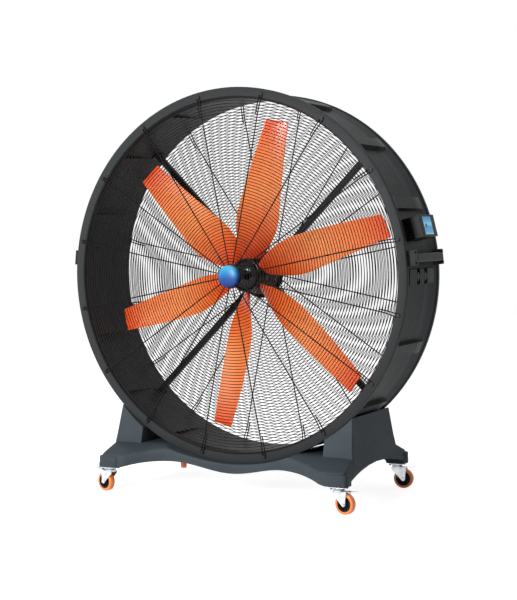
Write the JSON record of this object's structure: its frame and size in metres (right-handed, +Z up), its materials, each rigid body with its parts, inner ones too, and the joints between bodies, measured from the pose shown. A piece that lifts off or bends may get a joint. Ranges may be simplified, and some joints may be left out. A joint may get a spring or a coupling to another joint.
{
  "type": "castered drum fan",
  "caption": "Large industrial drum fan with wire guards, orange blades, pull handles and a control box, on a moulded base with braked swivel casters.",
  "frame": {"origin": "on the floor, below the middle of the object as parked", "axes": "+X to the right seen from the front, +Y to the back along the fan axis (air leaves towards -Y), +Z up"},
  "size_m": [1.9819, 0.8709, 2.0729],
  "materials": {
    "drum_plastic": "satin black moulded plastic",
    "base_plastic": "satin grey-black moulded plastic",
    "black_plastic": "black moulded plastic",
    "black_wire": "semi-gloss black coated wire",
    "black_steel": "semi-gloss black powder coat",
    "motor_paint": "dark painted casting",
    "blade_orange": "glossy orange",
    "badge_blue": "glossy blue",
    "screen": "lit blue display behind a clear cover",
    "zinc": "bright zinc plate",
    "tread": "smooth orange polyurethane"
  },
  "bodies": {
    "fan_frame": {"drum_quarter_upper_right": "drum_plastic", "drum_quarter_upper_left": "drum_plastic", "drum_quarter_lower_left": "drum_plastic", "drum_quarter_lower_right": "drum_plastic", "front_guard": "black_wire", "rear_guard": "black_wire", "badge_disc": "badge_blue", "motor_housing": "motor_paint", "motor_rear_cowl": "black_plastic", "motor_mount_plate": "black_steel", "motor_terminal_box": "black_plastic", "strut_1": "black_steel", "strut_2": "black_steel", "strut_3": "black_steel", "strut_4": "black_steel", "base_shell": "base_plastic", "saddle_right": "black_steel", "saddle_left": "black_steel", "handle_right": "black_plastic", "handle_left": "black_plastic", "control_heat_sink": "black_steel", "control_housing": "black_plastic", "control_bezel": "black_plastic", "control_screen": "screen", "control_cable_gland": "black_plastic", "caster_plate_front_right": "zinc", "caster_plate_rear_right": "zinc", "caster_plate_front_left": "zinc", "caster_plate_rear_left": "zinc"},
    "rotor": {"hub_body": "black_steel", "hub_dome": "black_plastic", "rotor_shaft": "zinc", "blade_1": "blade_orange", "blade_2": "blade_orange", "blade_3": "blade_orange", "blade_4": "blade_orange", "blade_5": "blade_orange", "blade_6": "blade_orange"},
    "swivel_front_right": {"caster_fork_front_right": "zinc", "axle_bolt_front_right": "zinc"},
    "wheel_front_right": {"wheel_core_front_right": "black_plastic", "wheel_tread_front_right": "tread"},
    "pedal_front_right": {"brake_pedal_front_right": "zinc"},
    "swivel_rear_right": {"caster_fork_rear_right": "zinc", "axle_bolt_rear_right": "zinc"},
    "wheel_rear_right": {"wheel_core_rear_right": "black_plastic", "wheel_tread_rear_right": "tread"},
    "pedal_rear_right": {"brake_pedal_rear_right": "zinc"},
    "swivel_front_left": {"caster_fork_front_left": "zinc", "axle_bolt_front_left": "zinc"},
    "wheel_front_left": {"wheel_core_front_left": "black_plastic", "wheel_tread_front_left": "tread"},
    "pedal_front_left": {"brake_pedal_front_left": "zinc"},
    "swivel_rear_left": {"caster_fork_rear_left": "zinc", "axle_bolt_rear_left": "zinc"},
    "wheel_rear_left": {"wheel_core_rear_left": "black_plastic", "wheel_tread_rear_left": "tread"},
    "pedal_rear_left": {"brake_pedal_rear_left": "zinc"}
  },
  "joints": [
    {"name": "rotor_spin", "type": "hinge", "parent": "fan_frame", "child": "rotor", "pos_m": [0, -0.064, 1.124], "axis": [0, 1, 0], "continuous": true},
    {"name": "swivel_front_right", "type": "hinge", "parent": "fan_frame", "child": "swivel_front_right", "pos_m": [0.655, -0.394, 0.1091], "axis": [0, 0, 1], "continuous": true},
    {"name": "wheel_front_right", "type": "hinge", "parent": "swivel_front_right", "child": "wheel_front_right", "pos_m": [0.68957, -0.39948, 0.051], "axis": [0.1564, 0.9877, 0], "continuous": true},
    {"name": "brake_front_right", "type": "hinge", "parent": "swivel_front_right", "child": "pedal_front_right", "pos_m": [0.69846, -0.40088, 0.1091], "axis": [0.1564, 0.9877, 0], "range_deg": [0, 14]},
    {"name": "swivel_rear_right", "type": "hinge", "parent": "fan_frame", "child": "swivel_rear_right", "pos_m": [0.655, 0.338, 0.1091], "axis": [0, 0, 1], "continuous": true},
    {"name": "wheel_rear_right", "type": "hinge", "parent": "swivel_rear_right", "child": "wheel_rear_right", "pos_m": [0.68966, 0.34287, 0.051], "axis": [-0.1392, 0.9903, 0], "continuous": true},
    {"name": "brake_rear_right", "type": "hinge", "parent": "swivel_rear_right", "child": "pedal_rear_right", "pos_m": [0.69857, 0.34412, 0.1091], "axis": [-0.1392, 0.9903, 0], "range_deg": [0, 14]},
    {"name": "swivel_front_left", "type": "hinge", "parent": "fan_frame", "child": "swivel_front_left", "pos_m": [-0.655, -0.394, 0.1091], "axis": [0, 0, 1], "continuous": true},
    {"name": "wheel_front_left", "type": "hinge", "parent": "swivel_front_left", "child": "wheel_front_left", "pos_m": [-0.68896, -0.38553, 0.051], "axis": [-0.2419, -0.9703, 0], "continuous": true},
    {"name": "brake_front_left", "type": "hinge", "parent": "swivel_front_left", "child": "pedal_front_left", "pos_m": [-0.69769, -0.38336, 0.1091], "axis": [-0.2419, -0.9703, 0], "range_deg": [0, 14]},
    {"name": "swivel_rear_left", "type": "hinge", "parent": "fan_frame", "child": "swivel_rear_left", "pos_m": [-0.655, 0.338, 0.1091], "axis": [0, 0, 1], "continuous": true},
    {"name": "wheel_rear_left", "type": "hinge", "parent": "swivel_rear_left", "child": "wheel_rear_left", "pos_m": [-0.67143, 0.3689, 0.051], "axis": [-0.8829, -0.4695, 0], "continuous": true},
    {"name": "brake_rear_left", "type": "hinge", "parent": "swivel_rear_left", "child": "pedal_rear_left", "pos_m": [-0.67566, 0.37685, 0.1091], "axis": [-0.8829, -0.4695, 0], "range_deg": [0, 14]}
  ]
}
